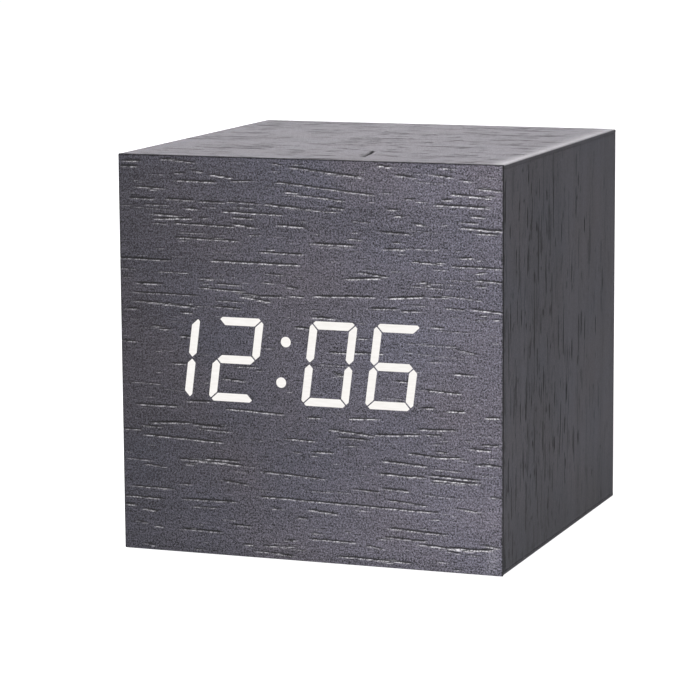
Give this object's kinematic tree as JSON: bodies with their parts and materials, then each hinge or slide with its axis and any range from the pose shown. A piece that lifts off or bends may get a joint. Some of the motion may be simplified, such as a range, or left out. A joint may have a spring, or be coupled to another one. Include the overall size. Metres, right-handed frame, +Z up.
{
  "type": "alarm clock",
  "caption": "Cube-shaped desk alarm clock in a dark veneered wooden case, with a seven-segment light display shining through its front, and buttons, supply inlet and battery door at the rear.",
  "frame": {"origin": "middle of the footprint, on the plane that the foot pads stand on", "axes": "+Z up, the display looks along -Y, the rear cover faces +Y, +X is to the right as seen from the front"},
  "size_m": [0.06, 0.06, 0.0608],
  "materials": {
    "front_veneer": "thin black-stained wood veneer, satin, horizontal grain, open pores",
    "side_veneer": "thin black-stained wood veneer, satin, open pores",
    "fibreboard": "raw fibreboard, matt",
    "block_wood": "sawn softwood",
    "foot_foam": "self-adhesive foam rubber",
    "diffuser": "clear and frosted",
    "white_plastic": "white, matt",
    "connector_plastic": "natural nylon",
    "circuit_board": "green solder mask",
    "ribbon_grey": "grey flat cable",
    "screw_steel": "zinc-plated steel",
    "contact_nickel": "nickel-plated spring steel",
    "switch_plunger": "black, matt",
    "switch_body": "black, matt",
    "button_plastic": "black, satin",
    "cover_plastic": "black, fine texture",
    "wire_red": "soft red insulation",
    "wire_black": "soft black insulation",
    "cell_jacket": null,
    "metal_can": "drawn can",
    "capacitor_sleeve": "shrunk sleeve",
    "component_black": "moulded black"
  },
  "bodies": {
    "root": {"battery_1": "cell_jacket", "battery_2": "cell_jacket", "battery_3": "cell_jacket", "battery_wire_black": "wire_black", "battery_wire_red": "wire_red", "board_connector": "connector_plastic", "board_screw_1": "screw_steel", "board_screw_2": "screw_steel", "buzzer": "component_black", "capacitor": "capacitor_sleeve", "case_board_bottom": "fibreboard", "case_board_left": "fibreboard", "case_board_right": "fibreboard", "case_board_top": "fibreboard", "contact_bridge_a": "contact_nickel", "contact_bridge_b": "contact_nickel", "contact_minus": "contact_nickel", "contact_plus": "contact_nickel", "controller_chip": "component_black", "corner_block_1": "block_wood", "corner_block_2": "block_wood", "corner_block_3": "block_wood", "corner_block_4": "block_wood", "crystal": "metal_can", "dc_jack": "component_black", "display_board": "circuit_board", "display_connector": "connector_plastic", "display_light_guide": "diffuser", "display_reflector": "white_plastic", "display_ribbon": "ribbon_grey", "display_screw_1": "screw_steel", "display_screw_2": "screw_steel", "foot_pad_1": "foot_foam", "foot_pad_2": "foot_foam", "foot_pad_3": "foot_foam", "foot_pad_4": "foot_foam", "front_board": "fibreboard", "main_board": "circuit_board", "microphone": "metal_can", "rear_cover": "cover_plastic", "rear_screw_1": "screw_steel", "rear_screw_2": "screw_steel", "rear_screw_3": "screw_steel", "rear_screw_4": "screw_steel", "tact_switch_down": "switch_body", "tact_switch_set": "switch_body", "tact_switch_up": "switch_body", "temperature_sensor": "component_black", "veneer_bottom": "side_veneer", "veneer_front": "front_veneer", "veneer_left": "side_veneer", "veneer_right": "side_veneer", "veneer_top": "side_veneer"},
    "set_button": {"button_set": "button_plastic", "switch_plunger_set": "switch_plunger"},
    "up_button": {"button_up": "button_plastic", "switch_plunger_up": "switch_plunger"},
    "down_button": {"button_down": "button_plastic", "switch_plunger_down": "switch_plunger"},
    "door": {"battery_door": "cover_plastic"}
  },
  "joints": [
    {"name": "battery_door_hinge", "type": "hinge", "parent": "root", "child": "door", "pos_m": [-0.0023, 0.028, 0.0094], "axis": [-1, 0, 0], "range_deg": [0, 90]},
    {"name": "button_set_press", "type": "slide", "parent": "root", "child": "set_button", "axis": [0, -1, 0], "range_m": [0, 0.0005], "stiffness_N_per_m": 1500, "springref_m": -0.0004},
    {"name": "button_up_press", "type": "slide", "parent": "root", "child": "up_button", "axis": [0, -1, 0], "range_m": [0, 0.0005], "stiffness_N_per_m": 1500, "springref_m": -0.0004},
    {"name": "button_down_press", "type": "slide", "parent": "root", "child": "down_button", "axis": [0, -1, 0], "range_m": [0, 0.0005], "stiffness_N_per_m": 1500, "springref_m": -0.0004}
  ]
}
